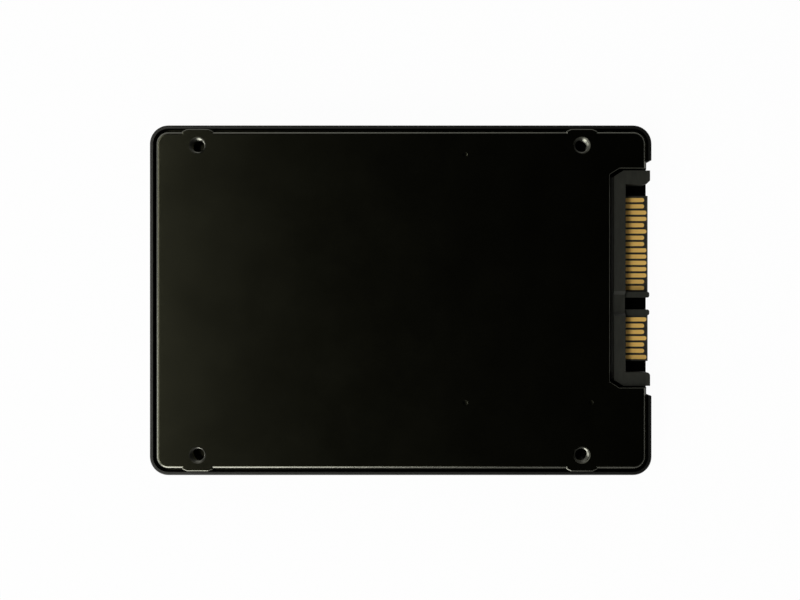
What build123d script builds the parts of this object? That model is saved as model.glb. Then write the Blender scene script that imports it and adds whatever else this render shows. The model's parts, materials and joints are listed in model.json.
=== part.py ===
from build123d import *
import os

# A 2.5 inch solid state drive, 7 mm high, with a SATA plug. Millimetres.
# The origin is the centre of the label face, which lies on Z = 0 and is what the drive
# rests on. +Z points out of the mounting face and +X out of the plug end.

# ---- Case
case_length = 100.2
case_width = 69.85
case_height = 7.0
corner_radius = 3.7
shell_gap = 0.1  # between the cover's wall and everything that slides in beside it

# ---- Top cover, the tray on the label side
cover_wall = 0.65
cover_floor = 0.9
cover_edge_radius = 0.5
rim_drop = 0.3  # the rim stops this far below the mounting face
rim_round = 0.3
rim_end_gap = 1.85  # from the plug's side to the end of the rim
label_inset = 4.0
label_corner_radius = 2.0
label_recess = 0.2
cover_rib_height = 0.6
board_rest_radius = 1.6
board_rest_gap = 0.1

# ---- Base plate, the shell on the mounting side
plate_thickness = 1.0
trench_depth = 2.0
trench_width = 0.45
flange_thickness = 0.9  # the trench's floor
plateau_round = 0.75
plateau_wall = 0.9  # the wall that drops from the plateau to the trench's floor
lobe_end_width = 4.3
lobe_flare = 1.0
lobe_root = 1.2  # how far a lobe reaches in under the plateau
lobe_round = 0.3
skirt_thickness = 0.9
skirt_height = 1.5  # below the trench's floor
rib_thickness = 0.8
rib_depth = 1.2
rib_margin = 4.0  # from the case's side to the ends of the ribs
rib_rows = 3
rib_columns = 3
sink_mark_radius = 0.55
sink_mark_depth = 0.07

# ---- Mounting holes, M3 thread at its nominal diameter
hole_from_plug_end = 14.0
hole_from_far_end = 9.6
hole_from_side = 4.065
side_hole_below_face = 3.0
thread_radius = 1.5
mouth_chamfer = 0.2
base_hole_depth = 3.5
side_hole_run_in = 0.9  # how far a side hole runs into the bottom hole beside it
hole_block_width = 5.9
side_window_radius = 1.8  # opening in the cover's wall round a side hole

# ---- Snap barbs on the skirt, and the pockets in the cover's wall
barb_width = 5.0
barb_height = 0.8
barb_engagement = 0.2
barb_clearance = 0.1
barb_below_plate = 2.6
side_barb_stations = (-25.0, -3.0, 20.0)
end_barb_stations = (-18.0, 18.0)

# ---- SATA plug, housing
plug_offset = 4.42  # centre of the plug from the drive's centre line, the least the drive standard allows
plug_setback = 0.2  # arm tips from the case's end
contact_below_face = 3.5
plug_above_contact = 2.6
plug_below_contact = 2.3
bar_depth = 2.3
arm_length = 4.9
arm_width = 2.7
arm_tip_radius = 0.7
bar_corner_back = 1.9
bar_corner_side = 1.2
tongue_length = 5.0
tongue_thickness = 1.23
tongue_chamfer = 0.2
power_tongue_width = 20.57
key_gap = 2.41
signal_tongue_width = 10.41
tongue_side_gap = 2.155  # from a tongue's outer edge to the arm beside it
leg_width = 1.15
leg_height = 1.35
leg_round = 0.4
saddle_depth = 0.7
saddle_slope = 0.7
step_depth = 1.8  # the housing's rear step, which stands on the board
step_height = 1.4  # above the contacts
notch_back_gap = 1.0
notch_side_gap = 0.3
notch_round = 0.2

# ---- SATA plug, contacts
contact_pitch = 1.27
contact_width = 0.84
contact_thickness = 0.3
contact_proud = 0.05
contact_nose_radius = 0.38
outer_contact_inset = 0.85  # P15 from the power tongue's outer edge
key_contact_inset = 2.0  # S7 from the signal tongue's inner edge
long_tip_setback = 0.3
short_tip_setback = 0.76
blade_in_bar = 1.4
tail_width = 0.5
tail_exit = 0.25
tail_drop_run = 0.6
tail_foot = 0.9
tail_bend = 0.16
power_contact_count = 15
signal_contact_count = 7
long_power_contacts = (3, 4, 5, 6, 7, 10, 12, 13)
long_signal_contacts = (1, 4, 7)

# ---- Solder tabs that hold the plug down
tab_width = 2.0
tab_in_bar = 1.2
tab_side_gap = 1.355  # from a tongue's outer edge to the tab beside it
tab_foot = 1.4

# ---- Circuit board and the screws that hold it
board_length = 32.5
board_past_plug = 6.225  # how far the board's lower end reaches past the plug's side
board_thickness = 1.0
board_over_floor = 0.9
board_side_gap = 1.3
board_behind_bar = 0.3
board_corner_radius = 1.0
board_block_gap = 0.7
board_screw_inset = 2.95
board_screw_plug_inset = 4.5
screw_radius = 0.9
screw_head_radius = 1.6
screw_head_height = 0.6
screw_head_round = 0.25
screw_grip = 2.3
screw_slot_width = 0.4
screw_slot_depth = 0.3
screw_slot_length = 1.9
board_hole_clearance = 0.15
boss_wall = 1.2
boss_blind = 0.4  # solid left between a boss's bore and the plate

# ---- Parts on the board
chip_gap = 1.5
chip_margin = 1.5
substrate_thickness = 0.3
mould_inset = 0.2
mould_chamfer = 0.12
nand_size = (12.0, 18.0, 1.2)
controller_size = (12.0, 12.0, 1.1)
dram_size = (11.0, 8.0, 1.1)
regulator_size = (4.0, 4.0, 0.9)
load_switch_size = (3.0, 1.7, 1.1)
flash_body_size = (3.9, 4.9, 1.5)
flash_lead_span = 6.0
flash_lead_width = 0.42
flash_lead_pitch = 1.27
flash_leads_per_side = 4
flash_standoff = 0.15
crystal_size = (3.2, 2.5, 0.8)
crystal_lid_inset = 0.25
inductor_size = (3.6, 3.6, 1.8)
inductor_corner = 0.6
inductor_gap = 0.9
inductor_count = 3
tantalum_size = (3.5, 2.8, 1.9)
tantalum_gap = 1.2
tantalum_count = 3
terminal_length = 0.4
terminal_inset = 0.05
ceramic_size = (0.8, 1.6, 0.8)
decoupling_count = 14
coupling_count = 4
coupling_pitch = 2.6
resistor_size = (0.8, 1.6, 0.45)
resistor_pitch = 1.2
resistor_count = 4
pad_inset = 1.0

# ---- Places worked out from the sizes above
mounting_face = case_height
rim_top = case_height - rim_drop
plate_inside = case_height - plate_thickness
trench_floor = case_height - trench_depth
flange_bottom = trench_floor - flange_thickness
base_inset = cover_wall + shell_gap
plateau_inset = base_inset + trench_width
skirt_bottom = flange_bottom - skirt_height

case_end = case_length / 2
case_side = case_width / 2
hole_x = (hole_from_far_end - case_end, case_end - hole_from_plug_end)
hole_y = case_side - hole_from_side
side_hole_z = case_height - side_hole_below_face
bore_mouth_y = case_side - base_inset
side_hole_depth = bore_mouth_y - hole_y - thread_radius + side_hole_run_in

contact_top = case_height - contact_below_face
plug_top = contact_top + plug_above_contact
plug_bottom = contact_top - plug_below_contact
plug_front = case_end - plug_setback
bar_front = plug_front - arm_length
bar_back = bar_front - bar_depth
step_back = bar_back - step_depth
tongue_tip = bar_front + tongue_length
tongue_top = contact_top - contact_proud
tongue_bottom = contact_top - tongue_thickness
tongues_width = power_tongue_width + key_gap + signal_tongue_width
plug_width = tongues_width + 2 * (tongue_side_gap + arm_width)
power_outer = tongues_width / 2
power_inner = power_outer - power_tongue_width
signal_inner = power_inner - key_gap
signal_outer = -tongues_width / 2

board_bottom = cover_floor + board_over_floor
board_top = board_bottom + board_thickness
board_right = bar_back - board_behind_bar
board_left = board_right - board_length
board_high = case_side - base_inset - skirt_thickness - board_side_gap
board_low = plug_offset - plug_width / 2 - board_past_plug
board_screws = (
    (board_left + board_screw_inset, board_high - board_screw_inset),
    (board_left + board_screw_inset, board_low + board_screw_inset),
    (board_right - board_screw_plug_inset, board_low + board_screw_inset),
)
boss_radius = screw_radius + boss_wall

nand_x = board_left + chip_margin + nand_size[0] / 2
nand_1_y = board_screws[0][1] - boss_radius - chip_gap / 2 - nand_size[1] / 2
nand_2_y = nand_1_y - nand_size[1] - chip_gap
second_column = nand_x + nand_size[0] / 2 + chip_gap
controller_x = second_column + controller_size[0] / 2
controller_y = (nand_1_y + nand_2_y - controller_size[1]) / 2
dram_y = controller_y - (controller_size[1] + dram_size[1]) / 2 - chip_gap
power_low = controller_y + controller_size[1] / 2 + chip_gap
nand_low = nand_2_y - nand_size[1] / 2


# ---- Shapes used all over


def block(x, y, z):
    """A box between two X, two Y and two Z coordinates."""
    size = (x[1] - x[0], y[1] - y[0], z[1] - z[0])
    return Pos(x[0], y[0], z[0]) * Box(*size, align=Align.MIN)


def slab(outline, bottom, top):
    """A flat plate of an outline between two heights."""
    return extrude(Pos(0, 0, bottom) * outline, top - bottom, dir=(0, 0, 1))


def post(radius, x, y, bottom, top):
    """An upright cylinder."""
    return slab(Pos(x, y) * Circle(radius), bottom, top)


def case_outline(inset):
    """The case's plan outline, moved in from its sides."""
    radius = corner_radius - inset
    return RectangleRounded(case_length - 2 * inset, case_width - 2 * inset, radius)


def plug_outline(back, half_width, front):
    """Plan outline of the plug's body, with its two bevelled rear corners."""
    shoulder = back + bar_corner_back
    low = plug_offset - half_width
    high = plug_offset + half_width
    return Polygon(
        (shoulder, low),
        (front, low),
        (front, high),
        (shoulder, high),
        (back, high - bar_corner_side),
        (back, low + bar_corner_side),
        align=None,
    )


def flat_strip(width, path):
    """A flat strip of contact metal along a path in the XZ plane."""
    section = Plane(origin=path @ 0, x_dir=(0, 1, 0), z_dir=path % 0)
    return sweep(section * Rectangle(width, contact_thickness), path=path)


def gull_wing(width, y, start, exit_x, top, foot):
    """A strip that leaves the housing level, dips and ends in a level foot on the board."""
    level = top - contact_thickness / 2
    floor = board_top + contact_thickness / 2
    ankle = exit_x - tail_drop_run
    path = FilletPolyline(
        (start, y, level),
        (exit_x, y, level),
        (ankle, y, floor),
        (ankle - foot, y, floor),
        radius=tail_bend,
    )
    return flat_strip(width, path)


# ---- Top cover


def rim_opening():
    """Cut for the gap in the end wall that the plug shows through; it leaves the wall's ends round."""
    wall_x = case_end - cover_wall / 2
    end_y = plug_width / 2 + rim_end_gap + cover_wall / 2
    gap = Pos(wall_x, plug_offset) * Rectangle(cover_wall + 2 * shell_gap, 2 * end_y)
    gap -= [Pos(wall_x, plug_offset + side * end_y) * Circle(cover_wall / 2) for side in (-1, 1)]
    return slab(gap, cover_floor, case_height)


def snap_places():
    """Places of the snaps: centre on the skirt's outer face, and the turn about Z."""
    side_face = case_side - base_inset
    end_face = case_end - base_inset
    places = [Pos(x, side * side_face) * Rot(0, 0, side * 90) for x in side_barb_stations for side in (-1, 1)]
    return places + [Pos(-end_face, y) * Rot(0, 0, 180) for y in end_barb_stations]


def top_cover():
    """The label-side tray with its thin rim, open above and at the plug."""
    tray = slab(case_outline(0), 0, rim_top)
    tray = fillet(tray.faces().sort_by(Axis.Z)[0].edges(), cover_edge_radius)
    tray = fillet(tray.faces().sort_by(Axis.Z)[-1].edges(), rim_round)
    tray -= slab(case_outline(cover_wall), cover_floor, case_height)

    label_size = (case_length - 2 * label_inset, case_width - 2 * label_inset)
    tray -= slab(RectangleRounded(*label_size, label_corner_radius), 0, label_recess)

    tray += cover_ribs()
    tray += board_rests()

    tray -= rim_opening()
    for x in hole_x:
        tray -= Pos(x, 0, side_hole_z) * Rot(90, 0, 0) * Cylinder(side_window_radius, case_width)
    for place in snap_places():
        tray -= place * snap_pocket()
    return tray


def rib_cells():
    """Centre lines of the stiffening ribs over the half of the drive that has no board."""
    low_x = rib_margin - case_end
    high_x = board_left - rib_margin
    half_y = case_side - rib_margin
    rows = [half_y * (2 * i / (rib_rows - 1) - 1) / 2 for i in range(rib_rows)]
    columns = [low_x + (high_x - low_x) * (i + 1) / (rib_columns + 1) for i in range(rib_columns)]
    return (low_x, high_x), half_y, rows, columns


def rib_grid(bottom, top):
    """Crossing ribs between two heights."""
    span_x, half_y, rows, columns = rib_cells()
    half = rib_thickness / 2
    ribs = [block(span_x, (y - half, y + half), (bottom, top)) for y in rows]
    ribs += [block((x - half, x + half), (-half_y, half_y), (bottom, top)) for x in columns]
    return ribs


def cover_ribs():
    """Low ribs on the tray's floor."""
    return rib_grid(cover_floor, cover_floor + cover_rib_height)


def board_rests():
    """Short posts under the board that take the push of a cable going on."""
    x = board_right - board_screw_plug_inset
    top = board_bottom - board_rest_gap
    ends = (plug_offset + signal_outer, plug_offset, plug_offset + power_outer)
    return [post(board_rest_radius, x, y, cover_floor, top) for y in ends]


def snap_pocket():
    """Pocket in the cover's wall for one barb, whose square upper face bears on the pocket's."""
    half = barb_width / 2 + barb_clearance
    reach = shell_gap + barb_engagement + barb_clearance
    bottom = plate_inside - barb_below_plate - barb_clearance
    top = plate_inside - barb_below_plate + barb_height
    return block((0, reach), (-half, half), (bottom, top))


# ---- Base plate


def plug_notch(front):
    """Plan outline of the notch that the plug sits in."""
    return plug_outline(bar_back - notch_back_gap, plug_width / 2 + notch_side_gap, front)


def lobe(x, side):
    """A flared pad that carries the plateau out to the rim beside a mounting hole."""
    outer = case_side - base_inset
    edge = case_side - plateau_inset
    end_half = lobe_end_width / 2
    root_half = end_half + lobe_flare
    pad = slab(
        Polygon(
            (x - root_half, side * (edge - lobe_root)),
            (x - root_half, side * edge),
            (x - end_half, side * outer),
            (x + end_half, side * outer),
            (x + root_half, side * edge),
            (x + root_half, side * (edge - lobe_root)),
            align=None,
        ),
        plate_inside,
        mounting_face,
    )
    top_edges = pad.faces().sort_by(Axis.Z)[-1].edges().sort_by(Axis.Y)
    free_edges = top_edges[:-1] if side < 0 else top_edges[1:]
    return fillet(free_edges, lobe_round)


def on_notch(edge):
    """Whether a plan edge lies on the notch's outline."""
    middle = edge @ 0.5
    return any(side.distance_to(Vector(middle.X, middle.Y)) < 1e-3 for side in plug_notch(case_end).edges())


def plate_and_plateau():
    """The plateau with its four lobes, and the trench round it: a wall down and a flange out."""
    plateau = slab(case_outline(plateau_inset), plate_inside, mounting_face)
    plateau = fillet(plateau.faces().sort_by(Axis.Z)[-1].edges(), plateau_round)
    plateau += [lobe(x, side) for x in hole_x for side in (-1, 1)]
    inner = case_outline(plateau_inset + plateau_wall)
    plate = plateau + slab(case_outline(plateau_inset) - inner, flange_bottom, plate_inside)
    plate += slab(case_outline(base_inset) - inner, flange_bottom, trench_floor)
    plate -= slab(plug_notch(case_end), flange_bottom, mounting_face)
    top_face = plate.faces().sort_by(Axis.Z)[-1]
    notch_edges = [edge for edge in top_face.edges() if on_notch(edge)]
    return fillet(notch_edges, notch_round)


def skirt():
    """The wall below the flange, which the cover's wall slides over, and a cheek each side of the plug."""
    ring = case_outline(base_inset) - case_outline(base_inset + skirt_thickness)
    wall = slab(ring, skirt_bottom, flange_bottom)
    half = plug_width / 2 + notch_side_gap
    wall -= block((bar_back, case_end), (plug_offset - half, plug_offset + half), (skirt_bottom, flange_bottom))
    for side in (-1, 1):
        edge = plug_offset + side * half
        cheek_y = sorted((edge, edge + side * skirt_thickness))
        wall += block((bar_back, case_end - plateau_inset), cheek_y, (skirt_bottom, plate_inside))
    return wall


def barb():
    """One snap barb: a wedge on the skirt, square above and sloping below."""
    reach = shell_gap + barb_engagement
    low = plate_inside - barb_below_plate
    wedge = Plane.XZ * Polygon((0, low), (reach, low + barb_height), (0, low + barb_height), align=None)
    return extrude(wedge, barb_width / 2, both=True)


def hole_block(x, side):
    """The D-shaped block that holds a bottom and a side mounting hole and stands on the cover's floor."""
    half = hole_block_width / 2
    outer = case_side - base_inset
    outline = Pos(x, side * hole_y) * Circle(half)
    outline += Pos(x, side * (hole_y + outer) / 2) * Rectangle(hole_block_width, outer - hole_y)
    return slab(outline, cover_floor, plate_inside)


def tapped_hole(depth):
    """Cut of one blind hole along +Z from its chamfered mouth on Z = 0."""
    mouth = thread_radius + mouth_chamfer
    half_section = Polygon(
        (0, 0), (mouth, 0), (thread_radius, mouth_chamfer), (thread_radius, depth), (0, depth), align=None
    )
    return revolve(Plane.XZ * half_section, Axis.Z)


def mounting_holes():
    """Cuts of the four bottom holes and of the four side holes, which run into them."""
    holes = []
    for x in hole_x:
        for side in (-1, 1):
            down = Pos(x, side * hole_y, mounting_face) * Rot(180, 0, 0)
            inward = Pos(x, side * bore_mouth_y, side_hole_z) * Rot(side * 90, 0, 0)
            holes += [down * tapped_hole(base_hole_depth), inward * tapped_hole(side_hole_depth)]
    return holes


def board_bosses():
    """Bosses from the plate to the board, bored for the screws."""
    bosses = [post(boss_radius, x, y, board_top, plate_inside) for x, y in board_screws]
    bores = [post(screw_radius, x, y, board_top, plate_inside - boss_blind) for x, y in board_screws]
    return bosses, bores


def sink_marks():
    """Shallow dimples that the moulding leaves over the bosses."""
    ball = (sink_mark_radius**2 + sink_mark_depth**2) / (2 * sink_mark_depth)
    height = mounting_face + ball - sink_mark_depth
    return [Pos(x, y, height) * Sphere(ball) for x, y in board_screws]


def base_plate():
    """The mounting-side shell with its plateau, skirt, hole blocks, bosses and ribs."""
    plate = plate_and_plateau() + skirt()
    plate += [hole_block(x, side) for x in hole_x for side in (-1, 1)]
    plate += [place * barb() for place in snap_places()]
    plate += rib_grid(plate_inside - rib_depth, plate_inside)
    bosses, bores = board_bosses()
    plate += bosses
    plate -= bores
    plate -= mounting_holes()
    plate -= sink_marks()
    return plate


# ---- SATA plug


def housing_body():
    """Back bar with two guide arms, and the mouth between them."""
    body = slab(plug_outline(bar_back, plug_width / 2, plug_front), plug_bottom, plug_top)
    mouth_half = plug_width / 2 - arm_width
    mouth_y = (plug_offset - mouth_half, plug_offset + mouth_half)
    body -= block((bar_front, case_end), mouth_y, (plug_bottom, plug_top))
    tips = body.edges().filter_by(Axis.Z).group_by(Axis.X)[-1].sort_by(Axis.Y)
    body = chamfer(tips[2], arm_tip_radius)
    tips = body.edges().filter_by(Axis.Z).group_by(Axis.X)[-1].sort_by(Axis.Y)
    return fillet(tips[1], arm_tip_radius)


def tongue(low, high):
    """A contact tongue with a bevelled tip."""
    y = (plug_offset + low, plug_offset + high)
    blade = block((bar_front, tongue_tip), y, (tongue_bottom, tongue_top))
    tip_edges = blade.faces().sort_by(Axis.X)[-1].edges().filter_by(Axis.Y)
    return chamfer(tip_edges, tongue_chamfer)


def key_leg(low, high):
    """The upright leg that makes a tongue L-shaped, with a rounded end."""
    y = (plug_offset + low, plug_offset + high)
    leg = block((bar_front, tongue_tip), y, (tongue_top, contact_top + leg_height))
    return fillet(leg.faces().sort_by(Axis.X)[-1].edges().filter_by(Axis.Z), leg_round)


def saddle():
    """The dip in the back bar behind the gap between the tongues."""
    high = plug_offset + power_inner + leg_width / 2
    low = plug_offset + signal_inner - leg_width / 2
    floor = plug_top - saddle_depth
    section = Polygon(
        (low - saddle_slope, plug_top),
        (low, floor),
        (high, floor),
        (high + saddle_slope, plug_top),
        align=None,
    )
    return extrude(Plane.YZ.offset(bar_back) * section, bar_depth)


def rear_step():
    """The block behind the bar that stands on the board and that the tails and tabs come out of."""
    half = plug_width / 2 - bar_corner_side
    y = (plug_offset - half, plug_offset + half)
    return block((step_back, bar_back), y, (board_top, contact_top + step_height))


def sata_housing(inserts):
    """The plug's moulding, with the contacts and tabs moulded in."""
    body = housing_body() + rear_step()
    body += [tongue(power_inner, power_outer), tongue(signal_outer, signal_inner)]
    body += [key_leg(power_inner, power_inner + leg_width), key_leg(signal_inner - leg_width, signal_inner)]
    body -= saddle()
    return body - inserts


def contact(y, tip_setback):
    """One contact: a blade with a rounded nose on the tongue, and a tail on the board."""
    blade_back = bar_front - blade_in_bar
    half = contact_width / 2
    blade = block(
        (blade_back, tongue_tip - tip_setback),
        (y - half, y + half),
        (contact_top - contact_thickness, contact_top),
    )
    nose = blade.faces().sort_by(Axis.X)[-1].edges().filter_by(Axis.Z)
    blade = fillet(nose, contact_nose_radius)
    return blade + gull_wing(tail_width, y, blade_back, step_back - tail_exit, contact_top, tail_foot)


def power_contact(number):
    """Power contact P1 to P15, with P15 at the outer edge of its tongue."""
    outermost = plug_offset + power_outer - outer_contact_inset
    y = outermost - (power_contact_count - number) * contact_pitch
    setback = long_tip_setback if number in long_power_contacts else short_tip_setback
    return contact(y, setback)


def signal_contact(number):
    """Signal contact S1 to S7, with S7 beside the key."""
    innermost = plug_offset + signal_inner - key_contact_inset
    y = innermost - (signal_contact_count - number) * contact_pitch
    setback = long_tip_setback if number in long_signal_contacts else short_tip_setback
    return contact(y, setback)


def solder_tab(side):
    """A wide tab through the end of the back bar, soldered to the board."""
    y = plug_offset + side * (tongues_width / 2 + tab_side_gap + tab_width / 2)
    top = contact_top + contact_thickness
    return gull_wing(tab_width, y, bar_back + tab_in_bar, step_back - tail_exit, top, tab_foot)


# ---- Circuit board and its screws


def circuit_board():
    """The half-length board, cut away round a hole block and drilled for its screws."""
    outline = Pos((board_left + board_right) / 2, (board_low + board_high) / 2) * RectangleRounded(
        board_length, board_high - board_low, board_corner_radius
    )
    block_left = hole_x[1] - hole_block_width / 2 - board_block_gap
    block_low = hole_y - hole_block_width / 2 - board_block_gap
    board = slab(outline, board_bottom, board_top)
    board -= block((block_left, case_end), (block_low, case_side), (board_bottom, board_top))
    hole_radius = screw_radius + board_hole_clearance
    return board - [post(hole_radius, x, y, board_bottom, board_top) for x, y in board_screws]


def board_screw(x, y):
    """A low-head screw put in from the label side, with a cross recess."""
    head_bottom = board_bottom - screw_head_height
    head = post(screw_head_radius, x, y, head_bottom, board_bottom)
    head = fillet(head.faces().sort_by(Axis.Z)[0].edges(), screw_head_round)
    long = screw_slot_length / 2
    thin = screw_slot_width / 2
    slot_z = (head_bottom, head_bottom + screw_slot_depth)
    head -= block((x - long, x + long), (y - thin, y + thin), slot_z)
    head -= block((x - thin, x + thin), (y - long, y + long), slot_z)
    return head + post(screw_radius, x, y, board_bottom, board_top + screw_grip)


# ---- Parts on the board


def on_board(x, y, size, lift=0.0):
    """A box of a part's size on the board, centred on a place."""
    return block(
        (x - size[0] / 2, x + size[0] / 2),
        (y - size[1] / 2, y + size[1] / 2),
        (board_top + lift, board_top + size[2]),
    )


def package(x, y, size):
    """A moulded package: a thin substrate and a slightly smaller bevelled cap."""
    substrate = on_board(x, y, (size[0], size[1], substrate_thickness))
    cap_size = (size[0] - 2 * mould_inset, size[1] - 2 * mould_inset, size[2])
    cap = on_board(x, y, cap_size, substrate_thickness)
    return substrate + chamfer(cap.faces().sort_by(Axis.Z)[-1].edges(), mould_chamfer)


def leadless(x, y, size):
    """A small package with its leads under the body."""
    return chamfer(on_board(x, y, size).faces().sort_by(Axis.Z)[-1].edges(), mould_chamfer)


def terminal_part(x, y, size, along_y=False):
    """A body with a metal terminal wrapped round each end."""
    body_size = (size[0] - 2 * terminal_inset, size[1] - 2 * terminal_inset, size[2] - terminal_inset)
    part = on_board(x, y, body_size)
    for end in (-1, 1):
        if along_y:
            place = (x, y + end * (size[1] - terminal_length) / 2)
            cap = (size[0], terminal_length, size[2])
        else:
            place = (x + end * (size[0] - terminal_length) / 2, y)
            cap = (terminal_length, size[1], size[2])
        part += on_board(*place, cap)
    return part


def inductor(index):
    """A moulded power inductor with rounded corners."""
    x = second_column + inductor_size[0] / 2
    pitch = inductor_size[1] + inductor_gap
    y = power_low + regulator_size[1] + inductor_gap + inductor_size[1] / 2 + index * pitch
    body = fillet(on_board(x, y, inductor_size).edges().filter_by(Axis.Z), inductor_corner)
    return chamfer(body.faces().sort_by(Axis.Z)[-1].edges(), mould_chamfer)


def tantalum_capacitor(index):
    """A tantalum capacitor in the column next to the plug."""
    x = board_right - board_screw_plug_inset - tantalum_size[0] / 2
    pitch = tantalum_size[1] + tantalum_gap
    y = power_low + tantalum_size[1] / 2 + index * pitch
    return terminal_part(x, y, tantalum_size)


def firmware_flash():
    """The eight-lead chip that holds the firmware."""
    x = second_column - flash_lead_span / 2
    y = nand_low - chip_gap - flash_body_size[1] / 2
    body = on_board(x, y, flash_body_size, flash_standoff)
    body = chamfer(body.faces().sort_by(Axis.Z)[-1].edges(), mould_chamfer)
    shoulder_z = board_top + flash_body_size[2] / 2
    half = flash_lead_width / 2
    for side in (-1, 1):
        for i in range(flash_leads_per_side):
            lead_y = y + (i - (flash_leads_per_side - 1) / 2) * flash_lead_pitch
            outer = x + side * flash_lead_span / 2
            knee = x + side * (flash_body_size[0] / 2 + flash_standoff * 2)
            ranges = (
                (sorted((x, knee)), (shoulder_z - flash_standoff, shoulder_z)),
                (sorted((knee - side * flash_standoff, knee)), (board_top, shoulder_z)),
                (sorted((knee, outer)), (board_top, board_top + flash_standoff)),
            )
            body += [block(lead_x, (lead_y - half, lead_y + half), lead_z) for lead_x, lead_z in ranges]
    return body


def crystal():
    """The clock crystal: a ceramic base with a metal lid."""
    x = second_column + chip_margin + crystal_size[0] / 2
    y = dram_y - (dram_size[1] + crystal_size[1]) / 2 - chip_gap
    base = on_board(x, y, (crystal_size[0], crystal_size[1], crystal_size[2] / 2))
    lid_size = (
        crystal_size[0] - 2 * crystal_lid_inset,
        crystal_size[1] - 2 * crystal_lid_inset,
        crystal_size[2],
    )
    lid = fillet(on_board(x, y, lid_size).edges().filter_by(Axis.Z), crystal_lid_inset)
    return base + lid


def decoupling_capacitors():
    """The row of ceramic capacitors in the lane between the memory and the other parts."""
    x = second_column - chip_gap / 2
    lane_length = nand_1_y + nand_size[1] / 2 - nand_low
    pitch = lane_length / decoupling_count
    places = [nand_low + (i + 0.5) * pitch for i in range(decoupling_count)]
    return [terminal_part(x, y, ceramic_size, along_y=True) for y in places]


def coupling_capacitors():
    """One ceramic capacitor for each wire of the two signal pairs, beside the signal tails."""
    feet_back = step_back - tail_exit - tail_drop_run - tail_foot
    x = (controller_x + controller_size[0] / 2 + feet_back) / 2
    middle = plug_offset + (signal_inner + signal_outer) / 2
    places = [middle + (i - (coupling_count - 1) / 2) * coupling_pitch for i in range(coupling_count)]
    return [terminal_part(x, y, ceramic_size, along_y=True) for y in places]


def chip_resistors():
    """A row of resistors between the firmware chip and the last board screw."""
    first_x = second_column + 2 * chip_margin + crystal_size[0]
    y = dram_y - (dram_size[1] + resistor_size[1]) / 2 - chip_gap
    places = [first_x + i * resistor_pitch for i in range(resistor_count)]
    return [terminal_part(x, y, resistor_size, along_y=True) for x in places]


def thermal_pad(x, y, size):
    """A soft pad that fills the gap between a chip and the base plate."""
    half_x = size[0] / 2 - pad_inset
    half_y = size[1] / 2 - pad_inset
    return block((x - half_x, x + half_x), (y - half_y, y + half_y), (board_top + size[2], plate_inside))


# ---- Put the drive together


def drive():
    """Every piece of the drive by name."""
    contacts = {f"power_contact_{n:02d}": power_contact(n) for n in range(1, power_contact_count + 1)}
    contacts |= {f"signal_contact_{n}": signal_contact(n) for n in range(1, signal_contact_count + 1)}
    tabs = {"plug_solder_tab_signal_end": solder_tab(-1), "plug_solder_tab_power_end": solder_tab(1)}
    load_switch_x = second_column + inductor_size[0] + chip_gap + load_switch_size[0] / 2
    tantalums_high = power_low + tantalum_count * (tantalum_size[1] + tantalum_gap)
    pieces = {
        "top_cover": top_cover(),
        "base_plate": base_plate(),
        "sata_housing": sata_housing([*contacts.values(), *tabs.values()]),
        **contacts,
        **tabs,
        "circuit_board": circuit_board(),
        "board_screws": [board_screw(x, y) for x, y in board_screws],
        "controller_chip": package(controller_x, controller_y, controller_size),
        "dram_chip": package(controller_x, dram_y, dram_size),
        "nand_package_1": package(nand_x, nand_1_y, nand_size),
        "nand_package_2": package(nand_x, nand_2_y, nand_size),
        "power_regulator": leadless(
            second_column + regulator_size[0] / 2, power_low + regulator_size[1] / 2, regulator_size
        ),
        "load_switch": leadless(load_switch_x, tantalums_high + load_switch_size[1] / 2, load_switch_size),
        "firmware_flash": firmware_flash(),
        "crystal": crystal(),
        "decoupling_capacitors": decoupling_capacitors(),
        "coupling_capacitors": coupling_capacitors(),
        "chip_resistors": chip_resistors(),
        "controller_thermal_pad": thermal_pad(controller_x, controller_y, controller_size),
        "nand_thermal_pad_1": thermal_pad(nand_x, nand_1_y, nand_size),
        "nand_thermal_pad_2": thermal_pad(nand_x, nand_2_y, nand_size),
    }
    pieces |= {f"inductor_{i + 1}": inductor(i) for i in range(inductor_count)}
    pieces |= {f"tantalum_capacitor_{i + 1}": tantalum_capacitor(i) for i in range(tantalum_count)}
    return pieces


os.makedirs("parts", exist_ok=True)
for name, piece in drive().items():
    shape = Compound(children=piece) if isinstance(piece, list) else piece
    shape.label = name
    export_step(shape, f"parts/{name}.step")
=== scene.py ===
"""A 2.5 inch solid state drive, mounting side up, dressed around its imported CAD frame."""

import json
import math

import bmesh
import bpy
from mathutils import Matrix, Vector


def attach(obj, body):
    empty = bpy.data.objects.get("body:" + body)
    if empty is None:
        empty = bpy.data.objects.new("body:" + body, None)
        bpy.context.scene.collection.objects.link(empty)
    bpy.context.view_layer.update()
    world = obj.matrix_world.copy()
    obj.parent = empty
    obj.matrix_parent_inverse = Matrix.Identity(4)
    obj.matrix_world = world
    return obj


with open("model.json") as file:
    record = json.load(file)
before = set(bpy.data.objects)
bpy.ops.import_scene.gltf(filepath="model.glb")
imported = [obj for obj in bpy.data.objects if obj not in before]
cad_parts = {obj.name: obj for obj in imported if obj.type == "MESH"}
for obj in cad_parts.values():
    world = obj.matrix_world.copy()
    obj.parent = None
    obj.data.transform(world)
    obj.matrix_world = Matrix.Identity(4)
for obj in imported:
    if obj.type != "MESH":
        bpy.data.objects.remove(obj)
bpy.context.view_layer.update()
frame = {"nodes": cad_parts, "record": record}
NODES = frame["nodes"]
MM = 0.001


# ---------------------------------------------------------------- node helpers


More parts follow.
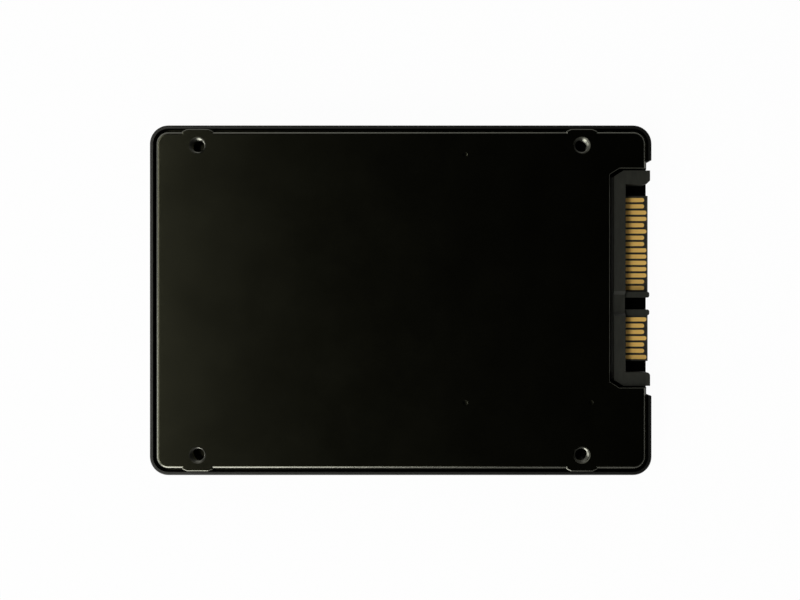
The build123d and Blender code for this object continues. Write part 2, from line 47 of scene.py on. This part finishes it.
class Nodes:
    """A node tree, with the shorthand that the materials and the world below use."""

    def __init__(self, tree):
        self.tree = tree

    def add(self, kind):
        return self.tree.nodes.new(kind)

    def link(self, source, target):
        self.tree.links.new(source, target)

    def feed(self, socket, value):
        """Links an output to a socket, or sets the socket to a plain value."""
        if isinstance(value, bpy.types.NodeSocket):
            self.link(value, socket)
        else:
            socket.default_value = value

    def math(self, operation, a, b):
        node = self.add("ShaderNodeMath")
        node.operation = operation
        self.feed(node.inputs[0], a)
        self.feed(node.inputs[1], b)
        return node.outputs[0]

    def axis(self, vector, name):
        """One coordinate of a vector."""
        node = self.add("ShaderNodeSeparateXYZ")
        self.link(vector, node.inputs[0])
        return node.outputs[name]

    def remap(self, value, low, high, to_low, to_high, smooth=False):
        node = self.add("ShaderNodeMapRange")
        node.interpolation_type = "SMOOTHSTEP" if smooth else "LINEAR"
        self.feed(node.inputs["Value"], value)
        ends = {"From Min": low, "From Max": high, "To Min": to_low, "To Max": to_high}
        for name, number in ends.items():
            node.inputs[name].default_value = number
        return node.outputs[0]


class Shader(Nodes):
    """A material built from nodes around one principled shader."""

    def __init__(self, name):
        self.material = bpy.data.materials.new(name)
        self.material.use_nodes = True
        super().__init__(self.material.node_tree)
        self.tree.nodes.clear()
        output = self.add("ShaderNodeOutputMaterial")
        self.surface = self.add("ShaderNodeBsdfPrincipled")
        self.link(self.surface.outputs["BSDF"], output.inputs["Surface"])
        coordinates = self.add("ShaderNodeTexCoord")
        self.place = coordinates.outputs["Object"]
        self.facing = coordinates.outputs["Normal"]

    def set(self, **values):
        """Sets sockets of the principled shader; underscores stand for spaces."""
        for name, value in values.items():
            self.feed(self.surface.inputs[name.replace("_", " ")], value)

    def tint(self, colour, factor):
        """A colour made lighter or darker by a number."""
        node = self.add("ShaderNodeVectorMath")
        node.operation = "SCALE"
        self.link(colour, node.inputs[0])
        self.feed(node.inputs["Scale"], factor)
        return node.outputs[0]

    def stretch(self, scale):
        """The place scaled along each axis, so that grain can run one way."""
        node = self.add("ShaderNodeMapping")
        self.link(self.place, node.inputs["Vector"])
        node.inputs["Scale"].default_value = scale
        return node.outputs[0]

    def noise(self, cell, detail, roughness, vector=None, distortion=0.0):
        """Noise whose largest cells are about this many millimetres across."""
        node = self.add("ShaderNodeTexNoise")
        self.link(vector or self.place, node.inputs["Vector"])
        node.inputs["Scale"].default_value = 1.0 / (cell * MM)
        node.inputs["Detail"].default_value = detail
        node.inputs["Roughness"].default_value = roughness
        node.inputs["Distortion"].default_value = distortion
        return node.outputs[0]

    def blend(self, factor, colour_a, colour_b):
        """A mix of two plain colours."""
        node = self.add("ShaderNodeMix")
        node.data_type = "RGBA"
        self.feed(node.inputs[0], factor)
        node.inputs[6].default_value = (*colour_a, 1.0)
        node.inputs[7].default_value = (*colour_b, 1.0)
        return node.outputs[2]

    def bump(self, height, depth, below=None):
        """Relief of this many millimetres, on top of another relief."""
        node = self.add("ShaderNodeBump")
        node.inputs["Distance"].default_value = depth * MM
        self.link(height, node.inputs["Height"])
        if below is not None:
            self.link(below, node.inputs["Normal"])
        return node.outputs[0]


# ---------------------------------------------------------------- finishes

HIGHLIGHT_SLOPE = (0.6, 0.8)  # the painted edge highlight comes in as a surface faces this far up
LEVEL_SLOPE = (0.99, 0.93)  # and comes in from the level face as the surface leans this far
SHADE_DEPTH = 0.5  # mm over which the painted shade fades in below the `shade` height
SHADED_SHEEN = 0.12


def lacquered_shell(name, flat, edge, shade, roughness):
    """Black lacquer on the case: its body colour is lost in the gloss, so only the sheen has a colour.

    The sheen changes from `flat` to `edge` along the rounded edges that lean up: a painted highlight where
    the lamps glint. Below the height `shade`, in mm, it is much weaker: painted shade on the lower surfaces.
    """
    s = Shader(name)
    texture = s.noise(0.32, 4.0, 0.65)
    cloud = s.noise(9.0, 3.0, 0.6)
    streaks = s.noise(2.4, 2.0, 0.5, s.stretch((0.04, 1.0, 1.0)), distortion=0.4)
    scratches = s.remap(streaks, 0.68, 0.72, 0.0, 1.0)
    speckle = s.remap(texture, 0.35, 0.7, 0.9, 1.1)
    slope = s.axis(s.facing, "Z")
    # Painted highlight: rounded edges that lean up toward the lamps take the `edge` reflection colour in
    # place of `flat`.
    upward = s.remap(slope, *HIGHLIGHT_SLOPE, 0.0, 1.0)
    not_level = s.remap(slope, *LEVEL_SLOPE, 0.0, 1.0)
    sheen = s.blend(s.math("MULTIPLY", upward, not_level), flat, edge)
    # Painted shade: below the `shade` height the reflection colour drops to SHADED_SHEEN, darkening the
    # case's inside and lower walls.
    if shade is not None:
        height = s.axis(s.place, "Z")
        lit = s.remap(height, (shade - SHADE_DEPTH) * MM, shade * MM, SHADED_SHEEN, 1.0)
        sheen = s.tint(sheen, lit)
    s.set(
        Metallic=1.0,
        Base_Color=s.tint(sheen, speckle),
        Roughness=s.math("ADD", roughness - 0.03, s.math("MULTIPLY", cloud, 0.06)),
        Normal=s.bump(scratches, 0.0015, s.bump(texture, 0.006)),
    )
    return s.material


def plug_plastic(name):
    """Glass-filled polymer: dark grey, matt, with faint flow marks along the mould."""
    s = Shader(name)
    fibre = s.noise(0.5, 4.0, 0.6, s.stretch((1.0, 0.25, 1.0)))
    grain = s.noise(0.14, 3.0, 0.6)
    flow = s.remap(fibre, 0.3, 0.7, 0.0, 1.0)
    s.set(
        Base_Color=s.blend(flow, (0.013, 0.0135, 0.0095), (0.021, 0.0215, 0.0155)),
        Roughness=s.remap(grain, 0.3, 0.7, 0.38, 0.48),
        Normal=s.bump(fibre, 0.003, s.bump(grain, 0.004)),
    )
    return s.material


def gold_plating(name):
    """Dull gold over nickel, with lengthwise wipe marks and a slightly uneven colour."""
    s = Shader(name)
    wipe = s.noise(0.18, 3.0, 0.6, s.stretch((0.06, 1.0, 1.0)))
    patch = s.noise(0.9, 2.0, 0.5)
    s.set(
        Metallic=0.35,
        Base_Color=s.blend(patch, (0.96, 0.57, 0.13), (1.0, 0.65, 0.18)),
        Roughness=s.math("ADD", 0.45, s.math("MULTIPLY", wipe, 0.16)),
        Normal=s.bump(wipe, 0.003),
    )
    return s.material


def metal(name, dark, light, roughness, cell):
    """Plain metal with a fine uneven surface."""
    s = Shader(name)
    mottle = s.noise(cell, 4.0, 0.6)
    s.set(
        Metallic=1.0,
        Base_Color=s.blend(mottle, dark, light),
        Roughness=s.math("ADD", roughness - 0.08, s.math("MULTIPLY", mottle, 0.16)),
        Normal=s.bump(mottle, 0.004),
    )
    return s.material


def moulded(name, dark, light, roughness, cell, relief=0.004):
    """A package's mould compound, ferrite, ceramic or rubber: fine grain in two shades."""
    s = Shader(name)
    grain = s.noise(cell, 4.0, 0.65)
    s.set(
        Base_Color=s.blend(s.remap(grain, 0.35, 0.65, 0.0, 1.0), dark, light),
        Roughness=s.remap(grain, 0.3, 0.7, roughness - 0.06, roughness + 0.06),
        Normal=s.bump(grain, relief),
    )
    return s.material


def solder_mask(name):
    """Black solder mask over copper: raised traces that show as slightly lighter lines."""
    s = Shader(name)
    brick = s.add("ShaderNodeTexBrick")
    s.link(s.stretch((1 / MM, 1 / MM, 0.0)), brick.inputs["Vector"])
    brick.inputs["Scale"].default_value = 0.9
    brick.inputs["Mortar Size"].default_value = 0.03
    brick.inputs["Brick Width"].default_value = 1.7
    brick.inputs["Row Height"].default_value = 0.55
    trace = brick.outputs["Fac"]
    weave = s.noise(0.25, 3.0, 0.5)
    s.set(
        Base_Color=s.blend(trace, (0.004, 0.006, 0.005), (0.010, 0.016, 0.012)),
        Roughness=s.remap(weave, 0.3, 0.7, 0.32, 0.42),
        Normal=s.bump(trace, 0.02, s.bump(weave, 0.004)),
    )
    return s.material


FINISHES = {
    "plate": lacquered_shell("plate_lacquer", (0.040, 0.040, 0.025), (0.18, 0.18, 0.15), None, 0.24),
    "cover": lacquered_shell("cover_lacquer", (0.040, 0.040, 0.036), (0.032, 0.032, 0.030), 6.3, 0.42),
    "plug": plug_plastic("plug_plastic"),
    "gold": gold_plating("gold_plating"),
    "tin": metal("tin_plating", (0.42, 0.41, 0.39), (0.60, 0.59, 0.57), 0.38, 0.5),
    "steel": metal("screw_steel", (0.36, 0.36, 0.37), (0.50, 0.50, 0.51), 0.32, 0.4),
    "board": solder_mask("solder_mask"),
    "mould": moulded("mould_compound", (0.008, 0.008, 0.009), (0.016, 0.016, 0.017), 0.55, 0.2),
    "ferrite": moulded("ferrite", (0.030, 0.030, 0.032), (0.055, 0.054, 0.055), 0.6, 0.3, 0.010),
    "ceramic": moulded("ceramic", (0.30, 0.22, 0.14), (0.40, 0.30, 0.20), 0.45, 0.3),
    "tantalum": moulded("tantalum_mould", (0.62, 0.40, 0.05), (0.72, 0.48, 0.08), 0.5, 0.3),
    "pad": moulded("gap_pad", (0.24, 0.30, 0.36), (0.32, 0.38, 0.44), 0.8, 0.5, 0.02),
}

FINISH_OF = (
    ("base_plate", "plate"),
    ("top_cover", "cover"),
    ("sata_housing", "plug"),
    ("power_contact", "gold"),
    ("signal_contact", "gold"),
    ("plug_solder_tab", "tin"),
    ("circuit_board", "board"),
    ("board_screws", "steel"),
    ("crystal", "tin"),
    ("inductor", "ferrite"),
    ("tantalum", "tantalum"),
    ("decoupling", "ceramic"),
    ("coupling", "ceramic"),
    ("controller_thermal", "pad"),
    ("nand_thermal", "pad"),
)


def finish_of(node_name):
    """The finish whose prefix a node's name starts with, or the mould compound of a chip."""
    for prefix, finish in FINISH_OF:
        if node_name.startswith(prefix):
            return FINISHES[finish]
    return FINISHES["mould"]


# ---------------------------------------------------------------- contacts

CONTACT_EDGE = 0.17  # mm that a contact's sharp edges are rounded by
WELD_GAP = 0.002


def soften(node):
    """Joins a contact's split corners and rounds its sharp edges."""
    weld = node.modifiers.new("weld", "WELD")
    weld.merge_threshold = WELD_GAP * MM
    bevel = node.modifiers.new("round", "BEVEL")
    bevel.width = CONTACT_EDGE * MM
    bevel.segments = 4
    bevel.limit_method = "ANGLE"
    bevel.angle_limit = math.radians(40)
    bevel.harden_normals = False


for node_name, node in NODES.items():
    node.data.materials.clear()
    node.data.materials.append(finish_of(node_name))
    if "_contact_" in node_name:
        soften(node)


# ---------------------------------------------------------------- threads in the mounting holes

THREAD_DEPTH = 0.23
THREAD_PITCH = 0.5
THREAD_BITE = 0.03  # how far the ridge's foot runs into the hole's wall
THREAD_START = 0.35  # below the hole's mouth
BOTTOM_THREAD_LENGTH = 2.9
SIDE_THREAD_LENGTH = 0.9
HALF_FOOT = 0.40 * THREAD_PITCH
HALF_CREST = 0.07 * THREAD_PITCH
STEPS_PER_TURN = 40
RUN_OUT_STEPS = 10  # steps over which the ridge rises at each end


def thread(name, centre, out_axis, radius, length):
    """A helical ridge of this length on a hole's wall."""
    into = -out_axis
    x_axis = Vector((1, 0, 0))
    y_axis = into.cross(x_axis)
    mesh = bmesh.new()
    steps = int(length / THREAD_PITCH * STEPS_PER_TURN)
    rings = []
    for i in range(steps + 1):
        turn = i / STEPS_PER_TURN
        angle = 2 * math.pi * turn
        fade = min(1.0, i / RUN_OUT_STEPS, (steps - i) / RUN_OUT_STEPS)
        foot = radius + THREAD_BITE
        crest = radius - THREAD_DEPTH * fade
        out = x_axis * math.cos(angle) + y_axis * math.sin(angle)
        depth = THREAD_START + turn * THREAD_PITCH
        profile = ((foot, -HALF_FOOT), (crest, -HALF_CREST), (crest, HALF_CREST), (foot, HALF_FOOT))
        rings.append([mesh.verts.new((centre + out * r + into * (depth + d)) * MM) for r, d in profile])
    for a, b in zip(rings, rings[1:]):
        for k in range(4):
            mesh.faces.new((a[k], a[(k + 1) % 4], b[(k + 1) % 4], b[k]))
    mesh.faces.new(rings[0])
    mesh.faces.new(rings[-1][::-1])
    bmesh.ops.recalc_face_normals(mesh, faces=mesh.faces)
    data = bpy.data.meshes.new(name)
    mesh.to_mesh(data)
    mesh.free()
    piece = bpy.data.objects.new(name, data)
    bpy.context.scene.collection.objects.link(piece)
    data.materials.append(FINISHES["plate"])
    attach(piece, "root")


def threads():
    """Threads in every hole of the record's bolt patterns: four below, or two along a side."""
    for mount in frame["record"]["mounts"]:
        if mount["kind"] != "bolt_pattern":
            continue
        sizes = mount["dims"]
        out_axis = Vector(mount["axis"])
        centre = Vector(mount["pos_m"]) / MM
        half_x = sizes["spacing_x_mm"] / 2
        half_y = sizes.get("spacing_y_mm", 0.0) / 2
        y_sides = (-1, 1) if half_y > 0 else (1,)
        length = BOTTOM_THREAD_LENGTH if half_y > 0 else SIDE_THREAD_LENGTH
        for i, x_side in enumerate((-1, 1)):
            for j, y_side in enumerate(y_sides):
                hole = centre + Vector((x_side * half_x, y_side * half_y, 0))
                thread(f"thread_{mount['name']}_{i * 2 + j + 1}", hole, out_axis, sizes["hole_r_mm"], length)


threads()


# ---------------------------------------------------------------- stage, light and camera

FLOOR_GLOW = 0.97  # the floor's own white, as the camera, gloss and glass see it
FLOOR_COLOUR = (0.8, 0.8, 0.8, 1.0)
CAMERA_PLACE = (-0.14, 0.05, 242.0)  # mm, looking straight down


def area_light(name, zenith, azimuth, distance, size, radiance):
    """A soft box seen from the object at this angle from straight up, with this radiance."""
    z, a = math.radians(zenith), math.radians(azimuth)
    towards = Vector((math.sin(z) * math.cos(a), math.sin(z) * math.sin(a), math.cos(z)))
    lamp = bpy.data.lights.new(name, "AREA")
    lamp.shape = "RECTANGLE"
    lamp.size, lamp.size_y = size
    lamp.energy = radiance * math.pi * size[0] * size[1]
    holder = bpy.data.objects.new(name, lamp)
    bpy.context.scene.collection.objects.link(holder)
    holder.location = towards * distance
    holder.rotation_euler = towards.to_track_quat("Z", "Y").to_euler()
    holder.visible_camera = False


def studio():
    """A room that is lighter low down and to the left.

    Its backdrop is white to the camera, and the lowest band of it is white in gloss and glass too.
    """
    world = bpy.data.worlds.new("studio")
    bpy.context.scene.world = world
    world.use_nodes = True
    w = Nodes(world.node_tree)
    background = w.tree.nodes["Background"]
    background.inputs["Color"].default_value = (1.0, 1.0, 1.0, 1.0)
    direction = w.add("ShaderNodeTexCoord").outputs["Generated"]
    height = w.axis(direction, "Z")
    low_down = w.remap(height, 0.25, 0.75, 0.9, 0.005, smooth=True)
    to_the_left = w.remap(w.axis(direction, "X"), -1.0, 1.0, 1.0, 0.02)
    band = w.remap(height, 0.02, 0.12, 1.0, 0.0)
    path = w.add("ShaderNodeLightPath")
    mirrored = w.math("MAXIMUM", path.outputs["Is Glossy Ray"], path.outputs["Is Transmission Ray"])
    shown = w.math("MAXIMUM", path.outputs["Is Camera Ray"], w.math("MULTIPLY", mirrored, band))
    light = w.math("MULTIPLY", low_down, to_the_left)
    w.link(w.math("MAXIMUM", shown, light), background.inputs["Strength"])


def floor():
    """A plain white floor that keeps the object's shadow."""
    bpy.ops.mesh.primitive_plane_add(size=8.0, location=(0, 0, -0.01 * MM))
    plane = bpy.context.object
    plane.name = "floor"
    material = bpy.data.materials.new("floor")
    material.use_nodes = True
    m = Nodes(material.node_tree)
    m.tree.nodes.clear()
    output = m.add("ShaderNodeOutputMaterial")
    diffuse = m.add("ShaderNodeBsdfDiffuse")
    diffuse.inputs["Color"].default_value = FLOOR_COLOUR
    glow = m.add("ShaderNodeEmission")
    path = m.add("ShaderNodeLightPath")
    seen = m.math("MAXIMUM", path.outputs["Is Camera Ray"], path.outputs["Is Glossy Ray"])
    seen = m.math("MAXIMUM", seen, path.outputs["Is Transmission Ray"])
    mix = m.add("ShaderNodeMixShader")
    m.link(m.math("MULTIPLY", seen, FLOOR_GLOW), mix.inputs["Fac"])
    m.link(diffuse.outputs[0], mix.inputs[1])
    m.link(glow.outputs[0], mix.inputs[2])
    m.link(mix.outputs[0], output.inputs["Surface"])
    plane.data.materials.append(material)


area_light("left_box", 29, 180, 1.0, (0.75, 0.22), 5.8)
area_light("key_box", 54, 247, 1.2, (0.65, 0.85), 5.0)
area_light("side_box", 60, 200, 1.2, (0.6, 0.35), 3.5)
area_light("back_box", 55, 115, 1.2, (1.0, 0.5), 0.25)
studio()
floor()

camera_data = bpy.data.cameras.new("camera")
camera_data.lens = 53.06
camera_data.sensor_width = 36.0
camera_data.clip_start = 10.0 * MM
camera = bpy.data.objects.new("camera", camera_data)
bpy.context.scene.collection.objects.link(camera)
camera.location = Vector(CAMERA_PLACE) * MM
bpy.context.scene.camera = camera

bpy.context.scene.view_settings.view_transform = "Standard"
